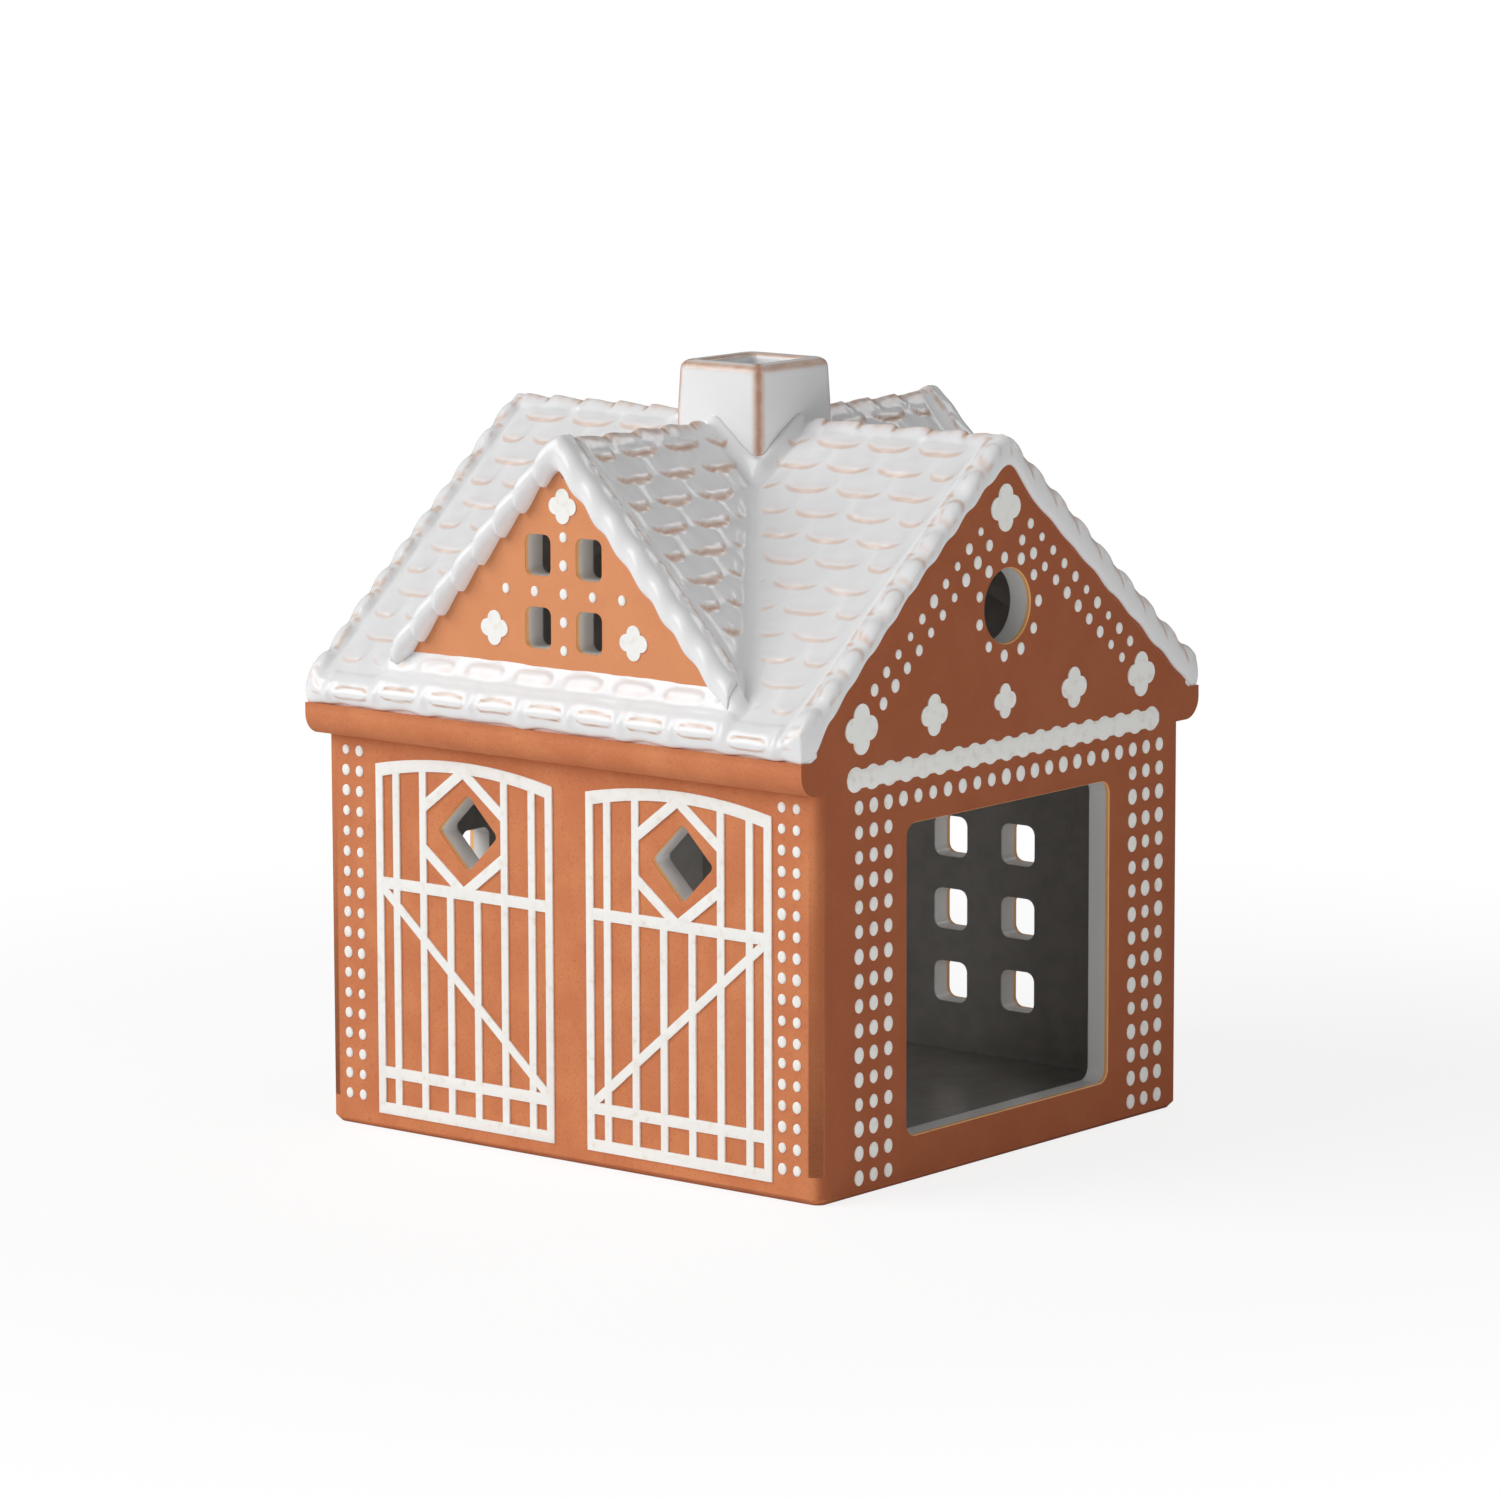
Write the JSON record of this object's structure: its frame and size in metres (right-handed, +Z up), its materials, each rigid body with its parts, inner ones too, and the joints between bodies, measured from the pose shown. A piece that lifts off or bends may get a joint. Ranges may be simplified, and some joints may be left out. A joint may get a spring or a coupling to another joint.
{
  "type": "tealight house",
  "caption": "Ceramic tealight house with a snowy cross-gabled shingle roof, square chimney, painted barn doors, small windows and a wide side opening for the candle.",
  "frame": {"origin": "middle of the underside, on the surface that the house stands on", "axes": "+Z up; X along the main ridge with the wide doorway on +X; -Y is the front with the two painted doors"},
  "size_m": [0.121, 0.1244, 0.1456],
  "materials": {
    "terracotta_clay": "matt unglazed terracotta stoneware",
    "white_glaze": "thick glossy white glaze that breaks to brown on the edges",
    "white_slip": "satin white slip, slightly raised"
  },
  "bodies": {
    "root": {"floor_slab": "terracotta_clay", "front_wall": "terracotta_clay", "rear_wall": "terracotta_clay", "left_gable": "terracotta_clay", "right_gable": "terracotta_clay", "front_cornice": "terracotta_clay", "rear_cornice": "terracotta_clay", "front_dormer_wall": "terracotta_clay", "rear_dormer_wall": "terracotta_clay", "front_roof": "white_glaze", "rear_roof": "white_glaze", "front_dormer_roof_right": "white_glaze", "front_dormer_roof_left": "white_glaze", "rear_dormer_roof_right": "white_glaze", "rear_dormer_roof_left": "white_glaze", "right_ridge_caps": "white_glaze", "left_ridge_caps": "white_glaze", "front_ridge_caps": "white_glaze", "rear_ridge_caps": "white_glaze", "right_gable_front_rake": "white_glaze", "right_gable_rear_rake": "white_glaze", "left_gable_front_rake": "white_glaze", "left_gable_rear_rake": "white_glaze", "front_dormer_right_rake": "white_glaze", "front_dormer_left_rake": "white_glaze", "rear_dormer_right_rake": "white_glaze", "rear_dormer_left_rake": "white_glaze", "front_dormer_sill": "white_glaze", "rear_dormer_sill": "white_glaze", "front_eave_drips": "white_glaze", "rear_eave_drips": "white_glaze", "chimney": "white_glaze", "left_door_icing": "white_slip", "right_door_icing": "white_slip", "front_wall_dots": "white_slip", "rear_wall_dots": "white_slip", "right_gable_dots": "white_slip", "left_gable_dots": "white_slip", "right_gable_garland": "white_slip", "left_gable_garland": "white_slip", "right_gable_rake_dots": "white_slip", "left_gable_rake_dots": "white_slip", "right_gable_window_ring": "white_slip", "left_gable_window_ring": "white_slip", "right_gable_quatrefoils": "white_slip", "left_gable_quatrefoils": "white_slip", "front_dormer_icing": "white_slip", "rear_dormer_icing": "white_slip"}
  },
  "joints": []
}
